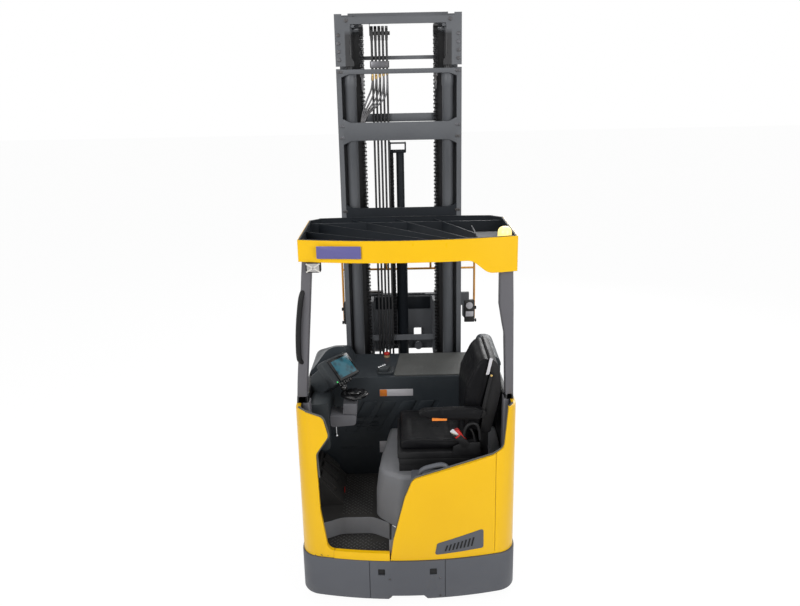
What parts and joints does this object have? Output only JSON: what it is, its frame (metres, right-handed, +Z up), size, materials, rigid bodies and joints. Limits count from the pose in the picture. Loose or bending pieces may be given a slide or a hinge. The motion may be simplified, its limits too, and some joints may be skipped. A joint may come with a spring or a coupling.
{
  "type": "reach truck",
  "caption": "Electric reach truck with a sideways seat, an open rear entry, a sliding three-stage mast between straddle legs, a tilting side-shift fork carriage and an overhead guard.",
  "frame": {"origin": "on the floor under the middle of the whole truck's outline, from rear bumper to fork tips", "axes": "+Z up; +Y forward to the fork tips; +X to the operator's right as seen from behind"},
  "size_m": [1.27, 2.888, 3.44],
  "materials": {
    "yellow_paint": "semi-gloss paint",
    "grey_paint": "satin paint",
    "dark_paint": "satin paint",
    "orange_paint": "satin paint",
    "grey_plastic": "fine grain",
    "dark_plastic": "fine grain",
    "black_vinyl": "grained vinyl",
    "wheel_rubber": "smooth solid tyre",
    "bare_steel": "ground",
    "hose_rubber": "smooth",
    "screen_glass": "glossy",
    "amber_lens": "glossy",
    "red_plastic": "glossy"
  },
  "bodies": {
    "truck": {"chassis_frame": "grey_paint", "bumper_skirt": "grey_paint", "left_body_panel": "yellow_paint", "right_body_panel": "yellow_paint", "entry_sill": "yellow_paint", "cab_floor": "grey_plastic", "seat_pedestal": "grey_plastic", "battery_hood": "dark_plastic", "battery_cover": "grey_plastic", "battery_block": "dark_paint", "side_doors": "yellow_paint", "reach_legs": "grey_paint", "reach_cylinder": "dark_paint", "guard_band": "yellow_paint", "guard_slats": "dark_paint", "left_post": "grey_paint", "right_post": "grey_paint", "seat_base": "dark_plastic", "seat_cushion": "black_vinyl", "seat_back": "black_vinyl", "seat_armrest": "black_vinyl", "seat_belt": "red_plastic", "grab_handle": "grey_plastic", "dash_console": "dark_plastic", "display_screen": "screen_glass", "steering_column": "grey_plastic", "control_levers": "dark_plastic", "stop_button": "red_plastic", "pedal_unit": "dark_plastic", "beacon_lamp": "amber_lens", "work_lamp": "screen_glass", "vent_grille": "dark_plastic"},
    "steering_wheel": {"steering_wheel": "dark_plastic"},
    "drive_steer": {"drive_yoke": "dark_paint"},
    "drive_wheel": {"drive_wheel": "wheel_rubber"},
    "left_load_wheel": {"left_load_wheel": "wheel_rubber"},
    "right_load_wheel": {"right_load_wheel": "wheel_rubber"},
    "reach_carriage": {"reach_carriage": "grey_paint", "outer_mast": "grey_paint", "lift_cylinders": "dark_paint"},
    "middle_mast": {"middle_mast": "grey_paint", "mast_chains": "bare_steel", "hose_set": "hose_rubber"},
    "inner_mast": {"inner_mast": "grey_paint", "free_lift_cylinder": "dark_paint"},
    "free_lift_head": {"free_lift_head": "dark_paint"},
    "lift_carriage": {"lift_carriage": "dark_paint"},
    "tilt_frame": {"tilt_frame": "dark_paint"},
    "shift_frame": {"shift_frame": "dark_paint", "fork_arms": "dark_paint", "load_backrest": "orange_paint"}
  },
  "joints": [
    {"name": "steering_wheel_turn", "type": "hinge", "parent": "truck", "child": "steering_wheel", "pos_m": [-0.318, -0.854, 1.14], "axis": [0, 0, 1], "continuous": true},
    {"name": "drive_steering", "type": "hinge", "parent": "truck", "child": "drive_steer", "pos_m": [0.12, -1.144, 0.4], "axis": [0, 0, 1], "range_deg": [-90, 90]},
    {"name": "drive_wheel_spin", "type": "hinge", "parent": "drive_steer", "child": "drive_wheel", "pos_m": [0.12, -1.144, 0.1715], "axis": [1, 0, 0], "continuous": true},
    {"name": "left_load_wheel_spin", "type": "hinge", "parent": "truck", "child": "left_load_wheel", "pos_m": [-0.56, 0.456, 0.1425], "axis": [1, 0, 0], "continuous": true},
    {"name": "right_load_wheel_spin", "type": "hinge", "parent": "truck", "child": "right_load_wheel", "pos_m": [0.56, 0.456, 0.1425], "axis": [1, 0, 0], "continuous": true},
    {"name": "mast_reach", "type": "slide", "parent": "truck", "child": "reach_carriage", "axis": [0, 1, 0], "range_m": [0, 0.6]},
    {"name": "middle_lift", "type": "slide", "parent": "reach_carriage", "child": "middle_mast", "axis": [0, 0, 1], "range_m": [0, 2.6]},
    {"name": "inner_lift", "type": "slide", "parent": "middle_mast", "child": "inner_mast", "axis": [0, 0, 1], "range_m": [0, 2.6]},
    {"name": "carriage_lift", "type": "slide", "parent": "inner_mast", "child": "lift_carriage", "axis": [0, 0, 1], "range_m": [-0.94, 1.2]},
    {"name": "free_lift", "type": "slide", "parent": "inner_mast", "child": "free_lift_head", "axis": [0, 0, 1], "range_m": [-0.47, 0.6]},
    {"name": "fork_tilt", "type": "hinge", "parent": "lift_carriage", "child": "tilt_frame", "pos_m": [0, 0.19, 1.443], "axis": [1, 0, 0], "range_deg": [-2, 4]},
    {"name": "side_shift", "type": "slide", "parent": "tilt_frame", "child": "shift_frame", "axis": [1, 0, 0], "range_m": [-0.12, 0.03]}
  ],
  "couplings": [
    {"joint": "inner_lift", "follows": "middle_lift", "ratio": 1},
    {"joint": "free_lift", "follows": "carriage_lift", "ratio": 0.5}
  ]
}
